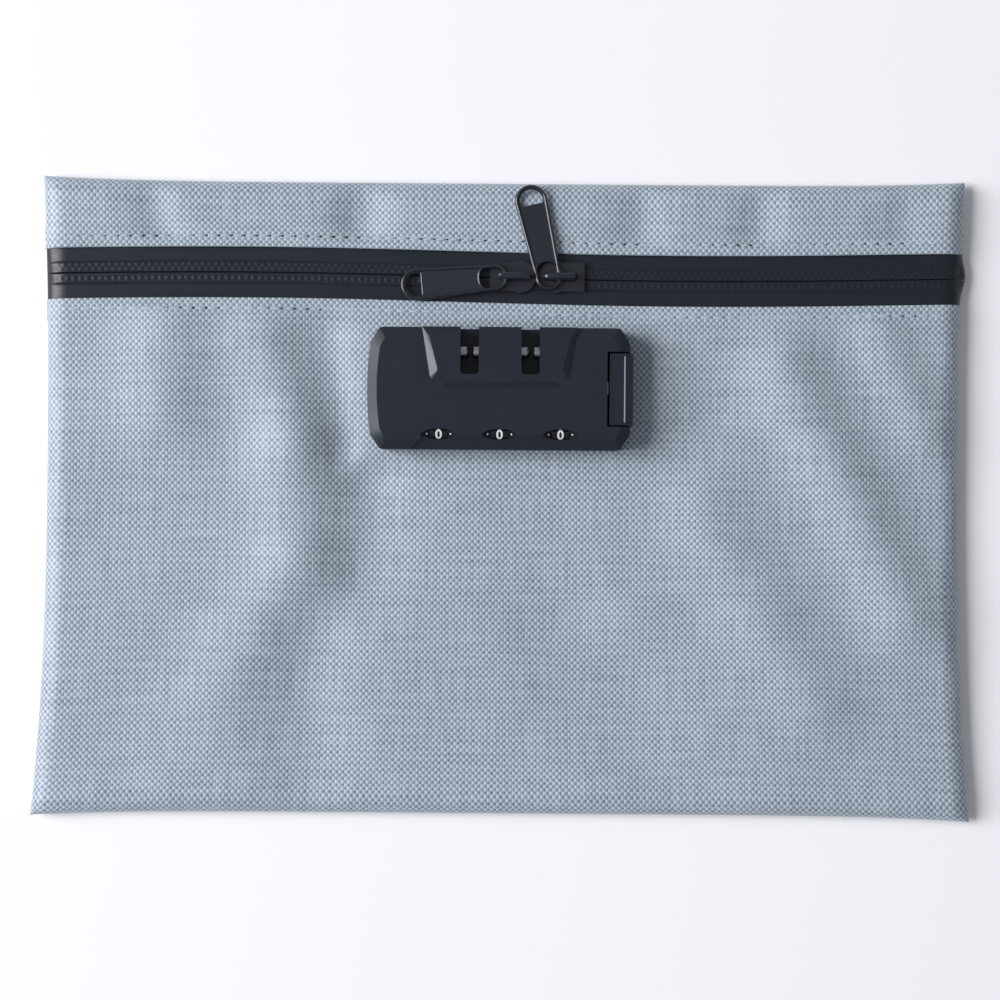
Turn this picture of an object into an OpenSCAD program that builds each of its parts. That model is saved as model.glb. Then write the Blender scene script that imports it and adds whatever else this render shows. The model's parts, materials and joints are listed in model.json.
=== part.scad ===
// Lockable cash deposit bag: a flat woven pouch with a laminated front zip and a
// three-dial lock that traps both zip pulls. The bag lies on its back, front face up.
// Origin: centre of the back face. X runs along the zip, Y towards the top edge, Z out of the front.

/* [Bag] */
// Width of the pouch at its waist
waist_w = 274.5; // [270:0.5:280]
// Width across the bottom corners
bottom_w = 283.5; // [282:0.5:290]
// Width across the top corners
top_w = 278; // [276:0.5:282]
// Height of the pouch at mid width
bag_h = 190; // [186:1:196]
// Thickness of the whole pouch, lying empty
pouch_t = 7.9; // [7.5:0.1:9]
// Thickness of the coated fabric
fabric_t = 0.9; // [0.6:0.1:1]

/* [Zip] */
// Distance of the zip's centre line above the middle of the bag
zip_y = 66.5; // [64:0.5:68]
// Height of tape that shows between the folded fabric edges
zip_show = 15.4; // [14:0.2:17]
// Thickness of the laminated tape
tape_t = 0.8; // [0.6:0.1:0.9]
// Pitch of the coil's elements
coil_pitch = 2; // [1.6:0.2:2.4]
// Position of the left slider's middle along the zip
slider_left_x = 2.8; // [0:0.2:2.8]
// Position of the right slider's middle along the zip
slider_right_x = 17.4; // [17.4:0.2:18.2]
// Length of one pull tab
pull_len = 32.4; // [30:0.2:32.6]

/* [Lock] */
// Middle of the lock along the zip
lock_x = -0.9; // [-2:0.1:0]
// Middle of the lock above the middle of the bag
lock_y = 32.5; // [32:0.5:33]
// Width of the lock's housing
lock_w = 78.6; // [78:0.2:80]
// Height of the lock's housing
lock_h = 36.2; // [36:0.2:37]
// Depth of the lock's housing in front of the fabric
lock_d = 12; // [12:0.2:13]
// Distance between neighbouring dials, and between the two slots
dial_pitch = 18; // [17.8:0.1:18.2]
// Radius of a dial
dial_r = 4.8; // [4.6:0.1:4.8]
// Travel of the release button and the latch
latch_travel = 2.6; // [2.2:0.1:2.6]

/* [Hidden] */
$fn = 48;

fabric_grey = "lightsteelblue";
black = "darkslategray";
steel = "silver";

// ---- pouch outline and levels ----
waist_y = 30;
ear_y = 1.3;
seam_z = 3.2;
tape_top = pouch_t - fabric_t;
tape_under = tape_top - tape_t;
// How far each ring of the rolled edge stands in from the seam, and its share of the height
roll_inset = [0, 0.6, 1.8, 3.5];
roll_rise = [0, 0.45, 0.8, 1];

function half_width(y) = waist_w / 2 + (y < waist_y
    ? (bottom_w - waist_w) / 2 * pow((waist_y - y) / (waist_y + bag_h / 2), 3)
    : (top_w - waist_w) / 2 * pow((y - waist_y) / (bag_h / 2 - waist_y), 2));
function half_height(x) = bag_h / 2 + ear_y * pow(abs(x) / (waist_w / 2), 6);

outline_steps = 12;
// The pouch's outline, set in by inset all round, counter-clockwise from the bottom right
function outline(inset) = concat(
    [for (i = [0 : outline_steps - 1]) let (y = bag_h * (i / outline_steps - 0.5))
        [half_width(y) - inset, y * (half_height(half_width(y)) - inset) * 2 / bag_h]],
    [for (i = [0 : outline_steps - 1]) let (x = half_width(bag_h / 2) * (1 - 2 * i / outline_steps))
        [x * (1 - inset / half_width(bag_h / 2)), half_height(x) - inset]],
    [for (i = [0 : outline_steps - 1]) let (y = bag_h * (0.5 - i / outline_steps))
        [inset - half_width(y), y * (half_height(half_width(y)) - inset) * 2 / bag_h]],
    [for (i = [0 : outline_steps - 1]) let (x = half_width(-bag_h / 2) * (2 * i / outline_steps - 1))
        [x * (1 - inset / half_width(-bag_h / 2)), inset - half_height(x)]]);

// A closed solid through rings of equal point count, each at its own height
module loft(rings, heights) {
    n = len(rings[0]);
    last = len(rings) - 1;
    polyhedron(
        points = [for (k = [0 : last]) for (p = rings[k]) [p[0], p[1], heights[k]]],
        faces = concat(
            [[for (i = [0 : n - 1]) i]],
            [for (k = [0 : last - 1]) for (i = [0 : n - 1]) let (j = (i + 1) % n)
                each [[k * n + i, (k + 1) * n + i, (k + 1) * n + j],
                      [k * n + i, (k + 1) * n + j, k * n + j]]],
            [[for (i = [n - 1 : -1 : 0]) last * n + i]]));
}

// Columns across the pouch: rolled edge, flat middle, rolled edge; each is [share of width, inset, rise]
cross_steps = 4;
columns = concat(
    [for (k = [0 : 3]) [-1, roll_inset[k], roll_rise[k]]],
    [for (k = [1 : cross_steps - 1]) [2 * k / cross_steps - 1, 0, 1]],
    [for (k = [3 : -1 : 0]) [1, roll_inset[k], roll_rise[k]]]);

// Rows from y0 to y1, each [y, inset from the end, rise]; an end beyond the bag gets a rolled edge
function end_rows(end) = [for (k = [0 : 3]) [end * bag_h / 2, -end * roll_inset[k], roll_rise[k]]];
function rows(y0, y1, steps) = let (
    low = y0 <= -bag_h / 2, high = y1 >= bag_h / 2,
    a = low ? -bag_h / 2 + roll_inset[3] : y0, b = high ? bag_h / 2 - roll_inset[3] : y1)
    concat(low ? end_rows(-1) : [[y0, 0, 1]],
        [for (k = [1 : steps - 1]) [a + (b - a) * k / steps, 0, 1]],
        high ? [for (k = [3 : -1 : 0]) end_rows(1)[k]] : [[y1, 0, 1]]);

// A point of a face that lies flat at flat_z and rolls to the seam at its edges, depth inside the outline
function face_point(col, row, flat_z, depth) = let (
    grow = max(0, abs(row[0]) - 60) / (bag_h / 2 - 60),
    x = col[0] * (half_width(row[0]) - col[1] * abs(col[0]) - depth),
    y = row[0] + row[1] + sign(row[0]) * grow * (half_height(x) - bag_h / 2)
        - (abs(row[0]) < bag_h / 2 ? 0 : sign(row[0]) * depth))
    [x, y, seam_z + (flat_z - seam_z) * min(col[2], row[2])];

// A sheet between two such faces, outer first
module sheet(y0, y1, steps, outer_z, outer_depth, inner_z, inner_depth) {
    r = rows(y0, y1, steps);
    nr = len(r);
    nc = len(columns);
    all = nr * nc;
    up = outer_z > inner_z;
    grid_faces = [for (k = [0 : nr - 2]) for (i = [0 : nc - 2]) let (p = k * nc + i)
        each [[p, p + 1, p + nc + 1], [p, p + nc + 1, p + nc]]];
    rim = concat([for (i = [0 : nc - 2]) i], [for (k = [0 : nr - 2]) k * nc + nc - 1],
        [for (i = [nc - 1 : -1 : 1]) all - nc + i], [for (k = [nr - 1 : -1 : 1]) k * nc]);
    outer = [for (f = grid_faces) [f[2], f[1], f[0]]];
    inner = [for (f = grid_faces) [f[0] + all, f[1] + all, f[2] + all]];
    side = [for (k = [0 : len(rim) - 1]) let (p = rim[k], q = rim[(k + 1) % len(rim)])
        each [[p, q, q + all], [p, q + all, p + all]]];
    faces = concat(outer, inner, side);
    polyhedron(
        points = concat(
            [for (row = r) for (col = columns) face_point(col, row, outer_z, outer_depth)],
            [for (row = r) for (col = columns) face_point(col, row, inner_z, inner_depth)]),
        faces = up ? faces : [for (f = faces) [f[2], f[1], f[0]]]);
}

module back_panel() {
    color(fabric_grey) sheet(-bag_h, bag_h, 10, 0, 0, fabric_t, fabric_t);
}

module front_upper_panel() {
    color(fabric_grey) sheet(zip_y + zip_show / 2, bag_h, 2, pouch_t, 0, tape_top, fabric_t);
}

// The big front panel is pierced, so it is built up from flat-sided steps that follow the rolled edge
step_inset = [0, 0.5, 1.2, 1.8];
module front_lower_panel() {
    color(fabric_grey) difference() {
        for (k = [0 : 3]) {
            low = k < 3 ? seam_z + (tape_top - seam_z) * roll_rise[k] : tape_top;
            high = k < 3 ? seam_z + (tape_top - seam_z) * roll_rise[k + 1] : pouch_t;
            translate([0, 0, low]) linear_extrude(high - low) intersection() {
                difference() {
                    polygon(outline(step_inset[k]));
                    if (k < 3) polygon(outline(step_inset[k] + fabric_t));
                }
                translate([-bottom_w, -bag_h]) square([2 * bottom_w, bag_h + zip_y - zip_show / 2]);
            }
        }
        screw_places() translate([0, 0, tape_top - 1]) cylinder(r = screw_r + 0.2, h = 3);
        code_slot(tape_top - 1, 3);
    }
}

// ---- seam allowances, bound with tape, lying on the inside of the back ----
binding_in = 4.4;
binding_w = 5.5;
binding_t = 1.4;
binding_end = bag_h / 2 - 11;

module binding_ring() {
    translate([0, 0, fabric_t]) difference() {
        linear_extrude(binding_t) polygon(outline(binding_in));
        translate([0, 0, -1]) linear_extrude(binding_t + 2) polygon(outline(binding_in + binding_w));
    }
}

module seam_binding_side(side) {
    color(black) intersection() {
        binding_ring();
        translate([side * waist_w / 2 - 20, -binding_end, 0]) cube([40, 2 * binding_end, pouch_t]);
    }
}

module seam_binding_edge(side) {
    color(black) intersection() {
        binding_ring();
        translate([-bottom_w, side > 0 ? binding_end : -bag_h, 0])
            cube([2 * bottom_w, bag_h - binding_end, pouch_t]);
    }
}

// ---- zip ----
tape_w = 16;
slit = 0.5;
coil_rail = 3.2;
coil_t = 2.4;
coil_len = 250;
coil_under = tape_under - coil_t;
tooth_w = 0.9;

module zip_tape(side) {
    color(black) sheet(side > 0 ? zip_y + slit : zip_y - tape_w, side > 0 ? zip_y + tape_w : zip_y - slit, 2,
        tape_top, fabric_t + 0.1, tape_under, fabric_t + tape_t);
}

// One row of coil elements as a comb, whose teeth stand in the other row's gaps
module zip_coil(side) {
    teeth = floor(coil_len / coil_pitch);
    shift = side > 0 ? 0 : coil_pitch / 2;
    points = concat(
        [[coil_len / 2 + coil_pitch, coil_rail], [-coil_len / 2, coil_rail]],
        [for (i = [0 : teeth - 1]) let (x = -coil_len / 2 + i * coil_pitch + shift)
            each [[x, 1.6], [x, -0.5], [x + tooth_w, -0.5], [x + tooth_w, 1.6]]],
        [[coil_len / 2 + coil_pitch, 1.6]]);
    color(black) difference() {
        translate([0, zip_y, coil_under]) mirror([0, side > 0 ? 0 : 1, 0])
            linear_extrude(coil_t) polygon(points);
        slider_place(-1) coil_gap();
        slider_place(1) coil_gap();
    }
}

// The room round a slider's wedge, where the two rows stand apart
module coil_gap() {
    translate([-slider_len / 2 - 1, -2.1, coil_under - 1]) cube([slider_len + 2, 4.2, coil_t + 2]);
}

// ---- zip sliders: drawn for the left one, with the closed chain towards -X ----
slider_len = 13.6;
slider_w = 8.6;
slider_mouth_w = 9.6;
plate_t = 1.5;
plate_z = tape_top + 0.15;
plate_top = plate_z + plate_t;
base_t = 1.2;
base_z = coil_under - 0.15 - base_t;
bail_len = 10.4;
bail_shift = 0.5;
bail_w = 2.1;
bail_leg = 1.5;
bail_gap = 2.4;
bail_t = 1.8;

module slider_place(side) {
    translate([side > 0 ? slider_right_x : slider_left_x, zip_y, 0])
        mirror([side > 0 ? 1 : 0, 0, 0]) children();
}

// A slider's plate seen from above: square at the tail, rounded at the mouth
module slider_plan() {
    translate([-slider_len / 2, -slider_w / 2]) square([slider_len * 0.62, slider_w]);
    intersection() {
        translate([slider_len / 2 - slider_mouth_w / 2, 0]) circle(r = slider_mouth_w / 2);
        translate([-slider_len / 2, -slider_mouth_w / 2]) square([slider_len, slider_mouth_w]);
    }
}

module slider_body() {
    color(black) {
        translate([0, 0, plate_z]) linear_extrude(plate_t) slider_plan();
        translate([0, 0, base_z]) linear_extrude(base_t) slider_plan();
        // Flanges beside the coils
        for (side = [-1, 1])
            translate([-slider_len / 2, side * 3.9 - 0.4, base_z])
                cube([slider_len * 0.7, 0.8, tape_under - 0.2 - base_z]);
        // Wedge that parts the rows, and the neck that rises through the slit
        translate([1.2, 0, base_z]) linear_extrude(tape_under - 0.1 - base_z)
            polygon([[-2.6, 0], [0, 1.4], [3.6, 1.6], [3.6, -1.6], [0, -1.4]]);
        translate([0.2, -0.3, base_z]) cube([4.4, 0.6, plate_top - base_z - 0.1]);
        // Bail that holds the pull: two round legs and a bridge
        for (side = [-1, 1])
            translate([bail_shift + side * (bail_len - bail_leg) / 2, 0, plate_top - 0.2])
                cylinder(r = bail_leg / 2, h = bail_gap + 0.4);
        translate([bail_shift - bail_len / 2, bail_w / 2, plate_top + bail_gap]) rotate([90, 0, 0])
            linear_extrude(bail_w)
                polygon([[0, 0], [0.7, bail_t - 0.5], [2, bail_t], [bail_len - 2, bail_t],
                         [bail_len - 0.7, bail_t - 0.5], [bail_len, 0]]);
    }
}

module zip_slider(side) {
    slider_place(side) slider_body();
}

// ---- zip pulls: drawn flat, with the eye's middle at the origin and the grip towards +X ----
pull_t = 1.6;
eye_len = 7;
eye_w = 6;
eye_bar = 1.4;
eye_bar_r = 0.9;
eye_r = 3.9;
grip_r = 4.9;
eye_end = -eye_len / 2 - eye_bar;
grip_x = pull_len + eye_end - grip_r;
pull_z = plate_top + bail_gap / 2;
left_pull_x = slider_left_x + bail_shift - bail_len / 2 + bail_leg + 0.4 + eye_bar / 2;
right_leg_x = slider_right_x - bail_shift - bail_len / 2 + bail_leg / 2;
// Directions in which the pulls lie, from +X, and how far their grips hang
left_pull_turn = 185.5;
right_pull_turn = 103.2;
pull_dip = 1.8;

function arc(centre, r, a0, a1, n) = [for (k = [0 : n]) let (a = a0 + (a1 - a0) * k / n)
    centre + r * [cos(a), sin(a)]];

// The tab's outline, grown by d: two arcs and the lines that touch both
function pull_outline(d) = let (eye = [eye_end + eye_r, 0], a = acos((eye_r - grip_r) / (grip_x - eye[0])))
    concat(arc([grip_x, 0], grip_r + d, -a, a, 20), arc(eye, eye_r + d, a, 360 - a, 16));

function rounded_rect(w, h, r) = [for (q = [[1, 1, 0], [-1, 1, 90], [-1, -1, 180], [1, -1, 270]])
    each arc([q[0] * (w / 2 - r), q[1] * (h / 2 - r)], r, q[2], q[2] + 90, 5)];

module pull_tab() {
    rim = 1;
    recess = 0.35;
    panel_x0 = eye_len / 2 + 1.2;
    panel_x1 = grip_x - 2.6;
    // Rounded bar that turns on the bail
    color(black) translate([eye_end + eye_bar / 2, -1.5, 0]) rotate([-90, 0, 0])
        cylinder(r = eye_bar_r, h = 3);
    color(black) difference() {
        translate([0, 0, -pull_t / 2]) linear_extrude(pull_t) difference() {
            polygon(pull_outline(0));
            polygon(rounded_rect(eye_len, eye_w, 2.4));
            // Grip hole, flat towards the panel
            intersection() {
                polygon(pull_outline(-1.3));
                translate([panel_x1 + 0.6, -grip_r]) square([2 * grip_r, 2 * grip_r]);
            }
        }
        // Sunk panel on both faces
        for (z = [pull_t / 2 - recess, -pull_t / 2 - 1]) translate([0, 0, z])
            linear_extrude(1 + recess) intersection() {
                polygon(pull_outline(-rim));
                translate([panel_x0, -grip_r]) square([panel_x1 - panel_x0, 2 * grip_r]);
            }
    }
}

module zip_pull_left() {
    translate([left_pull_x, zip_y, pull_z]) rotate([0, 0, left_pull_turn]) rotate([0, pull_dip, 0])
        translate([-eye_end - eye_bar / 2, 0, 0]) pull_tab();
}

module zip_pull_right() {
    translate([right_leg_x, zip_y, pull_z]) rotate([0, 0, right_pull_turn]) rotate([0, pull_dip, 0])
        translate([0.5, -0.9, 0]) pull_tab();
}

// ---- topstitching: separate stitches lying on the fabric ----
stitch_pitch = 3.8;
stitch_len = 3;
stitch_r = 0.25;
stitch_in = 3.2;

module topstitch(side) {
    count = floor((waist_w - 10) / stitch_pitch);
    color("white") for (i = [0 : count - 1])
        translate([(i - count / 2) * stitch_pitch, zip_y + side * (zip_show / 2 + stitch_in),
                   pouch_t + stitch_r + 0.02])
            rotate([0, 90, 0]) cylinder(r = stitch_r, h = stitch_len, $fn = 16);
}

// ---- lock: local origin at its middle on the fabric's face ----
wall = 1.8;
bevel_w = 2.9;
bevel_h = 2.2;
corner_x = 3.6;
corner_y = 4.4;
end_bulge = 0.9;
boss_h = 1.2;
slot_w = 5.4;
slot_end = 4.1;
slot_wall = 1.3;
slot_floor = 2.2;
bolt_y = 10.9;
bolt_z = 6.5;
bolt_r = 1.7;
bolt_tail_r = 1.1;
dial_y = -12.2;
dial_z = lock_d - 0.45 - dial_r;
dial_w = 5;
dial_gap = 0.2;
shaft_r = 1.25;
shaft_len = 50;
sleeve_r = 2.2;
flange_r = 2.9;
flange_t = 1.5;
// Ridge where the front face breaks down to the sloping face, and the digit's turn towards it
ridge_y = -13.7;
ridge_slope = 30;
digit_turn = 18;
scoop_len = 9.4;
scoop_d = 1.3;
scoop_r = 2.1;
plate_d = 1;
screw_r = 1.1;
screw_x = 31;
screw_y = 14;
inner_plate_t = 1.6;
button_y = 11.1;
button_x = 31.7;
bar_y0 = -1.5;
bar_y1 = 2.3;
bar_t = 3;
bar_left = -20;
fence_y = -6.6;
code_x = -9;
code_y = -4.5;
code_travel = 3;

module lock_frame() {
    translate([lock_x, lock_y, pouch_t]) children();
}

// The housing's outline, set in by inset, with cut corners and slightly bowed ends
function lock_outline(inset) = let (hx = lock_w / 2 - inset, hy = lock_h / 2 - inset,
    cx = corner_x - inset * 0.4, cy = corner_y - inset * 0.4, bow = end_bulge)
    concat(
        [[hx - cx - 1, -hy], [hx - cx, -hy + 0.3], [hx - bow, -hy + cy]],
        [for (t = [-0.6, -0.2, 0.2, 0.6]) [hx - bow * t * t, (hy - cy) * t]],
        [[hx - bow, hy - cy], [hx - cx, hy - 0.3], [hx - cx - 1, hy],
         [cx + 1 - hx, hy], [cx - hx, hy - 0.3], [bow - hx, hy - cy]],
        [for (t = [0.6, 0.2, -0.2, -0.6]) [bow * t * t - hx, (hy - cy) * t]],
        [[bow - hx, cy - hy], [cx - hx, 0.3 - hy], [cx + 1 - hx, -hy]]);

// The raised middle part's outline, set in by inset, open towards the top edge
function boss_outline(inset) = let (low = 0.2 + inset * 0.85, r = 4.5,
    top = lock_h / 2 - bevel_w * inset / bevel_h, xt = 23.1 - inset, xb = 20.9 - inset)
    concat([[xt, top], [-xt, top]],
        [for (a = [180 : 18 : 270]) [-xb + r + r * cos(a), low + r + r * sin(a)]],
        [for (a = [270 : 18 : 360]) [xb - r + r * cos(a), low + r + r * sin(a)]]);

module screw_places() {
    lock_frame_xy() for (x = [-1, 1]) for (y = [-1, 1]) translate([x * screw_x, y * screw_y, 0]) children();
}

module lock_frame_xy() {
    translate([lock_x, lock_y, 0]) children();
}

// The slot that the code-change slider's stem passes through
module code_slot(z, h) {
    lock_frame_xy() translate([code_x - 1.5, code_y - 1.3, z]) cube([3 + code_travel + 0.4, 2.6, h]);
}

module lock_shell() {
    loft([lock_outline(0), lock_outline(0), lock_outline(bevel_w)], [0, lock_d - bevel_h, lock_d]);
    translate([0, 0, lock_d - bevel_h]) loft([boss_outline(0), boss_outline(0), boss_outline(2.2)],
         [0, bevel_h - 0.01, bevel_h + boss_h]);
}

// What stays solid inside the housing: slot walls, screw bosses and the dials' block
module lock_ribs() {
    for (side = [-1, 1]) {
        translate([side * dial_pitch / 2 - slot_w / 2 - slot_wall, slot_end - slot_wall, plate_d])
            cube([slot_w + 2 * slot_wall, lock_h / 2, lock_d]);
        for (y = [-1, 1]) translate([side * screw_x, y * screw_y, plate_d]) cylinder(r = 2.4, h = lock_d);
    }
    // Block that carries the shaft and closes round each dial
    translate([-24.5, -lock_h / 2, 3.5]) cube([49, lock_h / 2 - 7.6, lock_d]);
}

// One slot, open at the front and at the top edge
module pull_slot() {
    translate([-slot_w / 2, slot_end + 1, slot_floor]) cube([slot_w, lock_h, lock_d * 2]);
    translate([-slot_w / 2 + 1, slot_end, slot_floor]) cube([slot_w - 2, lock_h, lock_d * 2]);
    for (x = [-1, 1]) translate([x * (slot_w / 2 - 1), slot_end + 1, slot_floor])
        cylinder(r = 1, h = lock_d * 2);
}

// A round-ended channel about the dials' axis, open towards the base plate for assembly
module dial_channel(x, length, r) {
    translate([x, dial_y, dial_z]) rotate([0, 90, 0]) cylinder(r = r, h = length);
    translate([x, dial_y - r + 0.1, 2]) cube([length, 2 * r - 0.2, dial_z - 2]);
}

// A lens-shaped scoop for the fingertip: part of a ring whose tube cuts the ridge
module finger_scoop() {
    ring_r = (pow(scoop_len / 2, 2) + pow(scoop_d, 2)) / (2 * scoop_d);
    translate([0, ridge_y, lock_d]) rotate([ridge_slope / 2, 0, 0])
        translate([0, 0, ring_r + scoop_r - scoop_d]) rotate([90, 0, 0])
            rotate_extrude() translate([ring_r, 0]) circle(r = scoop_r);
}

module lock_housing() {
    color(black) lock_frame() difference() {
        lock_shell();
        // Cavity
        difference() {
            translate([0, 0, -1]) linear_extrude(lock_d - wall + 1) polygon(lock_outline(wall));
            lock_ribs();
        }
        for (side = [-1, 1]) translate([side * dial_pitch / 2, 0, 0]) pull_slot();
        // Sloping face below the dials' digits
        translate([0, ridge_y, lock_d]) rotate([ridge_slope, 0, 0])
            linear_extrude(6) polygon([[-22.4, 0], [22.4, 0], [28.5, -7], [-28.5, -7]]);
        // Room for the dials, their cams and the shaft
        for (i = [-1, 0, 1]) translate([i * dial_pitch, 0, 0]) {
            finger_scoop();
            dial_channel(-dial_w / 2 - dial_gap, dial_w + 2 * dial_gap, dial_r + dial_gap);
            dial_channel(dial_w / 2, flange_t + 0.6, flange_r + dial_gap);
        }
        dial_channel(-shaft_len / 2, shaft_len, shaft_r);
        // Bolt holes through the slots' left walls, and seats for the strikers in the right ones
        for (side = [-1, 1]) translate([side * dial_pitch / 2, bolt_y, bolt_z]) rotate([0, 90, 0]) {
            translate([0, 0, -slot_w / 2 - slot_wall - 0.1]) cylinder(r = bolt_r + 0.1, h = slot_wall + 0.2);
            translate([0, 0, slot_w / 2 - 0.1]) cylinder(r = bolt_r, h = slot_wall + 0.2);
        }
        // Button notch, and the thinned wall that the button slides under
        translate([button_x, -button_y, plate_d]) cube([lock_w, 2 * button_y, lock_d * 2]);
        translate([28.4, -button_y, plate_d]) cube([lock_w, 2 * button_y, lock_d - plate_d - 0.8]);
        // Screw holes
        for (x = [-1, 1]) for (y = [-1, 1])
            translate([x * screw_x, y * screw_y, 0]) cylinder(r = screw_r, h = 8.1);
    }
}

module lock_base_plate() {
    color(black) difference() {
        lock_frame() linear_extrude(plate_d) polygon(lock_outline(wall + 0.05));
        screw_places() translate([0, 0, pouch_t - 1]) cylinder(r = screw_r + 0.2, h = 4);
        code_slot(pouch_t - 1, 4);
    }
}

module lock_inner_plate() {
    z = tape_top - inner_plate_t;
    color(steel) difference() {
        translate([lock_x - 35, lock_y - 16.5, z]) cube([70, 33, inner_plate_t]);
        screw_places() translate([0, 0, z - 1]) cylinder(r = screw_r + 0.2, h = 4);
        code_slot(z - 1, 4);
    }
}

module lock_screws() {
    z = tape_top - inner_plate_t;
    color(steel) screw_places() {
        translate([0, 0, z]) cylinder(r = screw_r, h = pouch_t + 8 - z);
        difference() {
            translate([0, 0, z - 1.2]) cylinder(r = 2.2, h = 1.2);
            for (a = [0, 90]) rotate([0, 0, a]) translate([-1.3, -0.25, z - 2]) cube([2.6, 0.5, 1.4]);
        }
    }
}

module bolt_strikers() {
    color(steel) lock_frame() for (side = [-1, 1])
        translate([side * dial_pitch / 2 + 1.05, bolt_y, bolt_z]) rotate([0, 90, 0])
            cylinder(r = bolt_r, h = slot_w / 2 + slot_wall - 1.05);
}

// ---- latch ----
module latch_bar() {
    color(steel) lock_frame() difference() {
        translate([0, 0, bolt_z - bar_t / 2]) {
            translate([bar_left, bar_y0, 0]) cube([button_x + 0.5 - bar_left, bar_y1 - bar_y0, bar_t]);
            // Arms that carry the bolts
            for (x = [-dial_pitch, 0]) translate([x - 1.2, bar_y0, 0])
                cube([2.6, bolt_y + 2.2 - bar_y0, bar_t]);
            // Fences that feel for the cams' gates
            for (i = [-1, 0, 1]) translate([i * dial_pitch + dial_w / 2 + 0.1, fence_y, 0])
                cube([flange_t, bar_y0 + 0.1 - fence_y, bar_t]);
        }
        for (x = [-dial_pitch, 0]) translate([x - 2, bolt_y, bolt_z]) rotate([0, 90, 0])
            cylinder(r = bolt_tail_r, h = 6);
        // Seat for the return spring
        translate([bar_left - 0.1, 0.4, bolt_z]) rotate([0, 90, 0]) cylinder(r = 1, h = 3);
    }
}

// Round bolts with chamfered tips and a thinner tail through the arm
module latch_bolts() {
    reach = dial_pitch / 2 - 0.35 + 1.2;
    tip = 0.6;
    color(steel) lock_frame()
        for (x = [-dial_pitch, 0]) translate([x - 1.2, bolt_y, bolt_z]) rotate([0, 90, 0]) {
            cylinder(r = bolt_tail_r, h = 2.7);
            rotate_extrude()
                polygon([[0, 2.6], [bolt_r, 2.6], [bolt_r, reach - tip], [bolt_r - tip, reach], [0, reach]]);
        }
}

// The button: an inclined side follows the housing's bevel
module release_button() {
    x0 = button_x + 0.6;
    y = button_y - 0.3;
    top = lock_d - 1;
    color(black) lock_frame() rotate([90, 0, 0]) translate([0, 0, -y]) linear_extrude(2 * y)
        polygon([[x0, plate_d + 0.2], [lock_w / 2 + 0.2, plate_d + 0.2], [lock_w / 2 + 0.2, top - bevel_h],
                 [lock_w / 2 - 2.2, top], [x0, top]]);
}

// A helix swept with a round wire, along +X
module coil_spring(length, radius, wire, turns) {
    steps = turns * 14;
    sides = 6;
    ring = [for (k = [0 : steps])
        let (a = 360 * turns * k / steps, x = wire + (length - 2 * wire) * k / steps)
        [for (j = [0 : sides - 1]) let (b = 360 * j / sides, r = radius + wire * cos(b))
            [x + wire * sin(b), r * cos(a), r * sin(a)]]];
    polyhedron(points = [for (r = ring) each r],
        faces = concat([[for (j = [0 : sides - 1]) j]],
            [for (k = [0 : steps - 1]) for (j = [0 : sides - 1]) let (i = (j + 1) % sides)
                each [[k * sides + j, (k + 1) * sides + j, (k + 1) * sides + i],
                      [k * sides + j, (k + 1) * sides + i, k * sides + i]]],
            [[for (j = [sides - 1 : -1 : 0]) steps * sides + j]]));
}

module return_spring() {
    left = -lock_w / 2 + wall + 0.2;
    color(steel) lock_frame() translate([left, 0.4, bolt_z]) coil_spring(bar_left - 0.1 - left, 1.3, 0.25, 9);
}

// ---- dials ----
module dial_shaft() {
    color(steel) lock_frame() translate([-shaft_len / 2, dial_y, dial_z]) rotate([0, 90, 0])
        cylinder(r = shaft_r, h = shaft_len);
}

// A leaf under the dials, with a round bead that drops into their grooves
module detent_spring() {
    color(steel) lock_frame() {
        translate([-21.5, dial_y - 2, plate_d]) cube([43, 4, 0.3]);
        for (i = [-1, 0, 1]) translate([i * dial_pitch - 1.5, dial_y, plate_d + 0.35]) rotate([0, 90, 0])
            cylinder(r = 0.3, h = 3, $fn = 24);
    }
}

// Where a dial and its cam turn, their axis along +Z
module dial_frame(i) {
    lock_frame() translate([i * dial_pitch - dial_w / 2, dial_y, dial_z]) rotate([0, 90, 0]) children();
}

module dial(i) {
    color(black) dial_frame(i) difference() {
        cylinder(r = dial_r, h = dial_w);
        translate([0, 0, -1]) cylinder(r = sleeve_r, h = dial_w + 2);
        // Grooves between the ten digits
        for (k = [0 : 9]) rotate([0, 0, 36 * k + 18 + digit_turn]) translate([dial_r + 0.2, 0, -1])
            cylinder(r = 0.55, h = dial_w + 2, $fn = 24);
    }
}

// The sleeve that a dial turns, with a gated flange
module cam_sleeve(i) {
    color("goldenrod") dial_frame(i) difference() {
        union() {
            cylinder(r = sleeve_r, h = dial_w + 0.2);
            translate([0, 0, dial_w + 0.1]) cylinder(r = flange_r, h = flange_t);
        }
        translate([0, 0, -1]) cylinder(r = shaft_r + 0.05, h = dial_w + flange_t + 3);
        translate([-1.1, sleeve_r, dial_w + 0.1]) cube([2.2, 3, flange_t + 1]);
    }
}

module code_change_slider() {
    z = tape_top - inner_plate_t - 0.2;
    color(black) lock_frame_xy() translate([code_x, code_y, 0]) {
        translate([-1.3, -1.1, z - 0.5]) cube([2.6, 2.2, pouch_t + 3.2 - z]);
        translate([-2.5, -2.2, z - 1.2]) cube([5, 4.4, 1.2]);
        translate([-2.5, -2.2, pouch_t + plate_d + 0.2]) cube([5, 4.4, 1.2]);
    }
}

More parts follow.
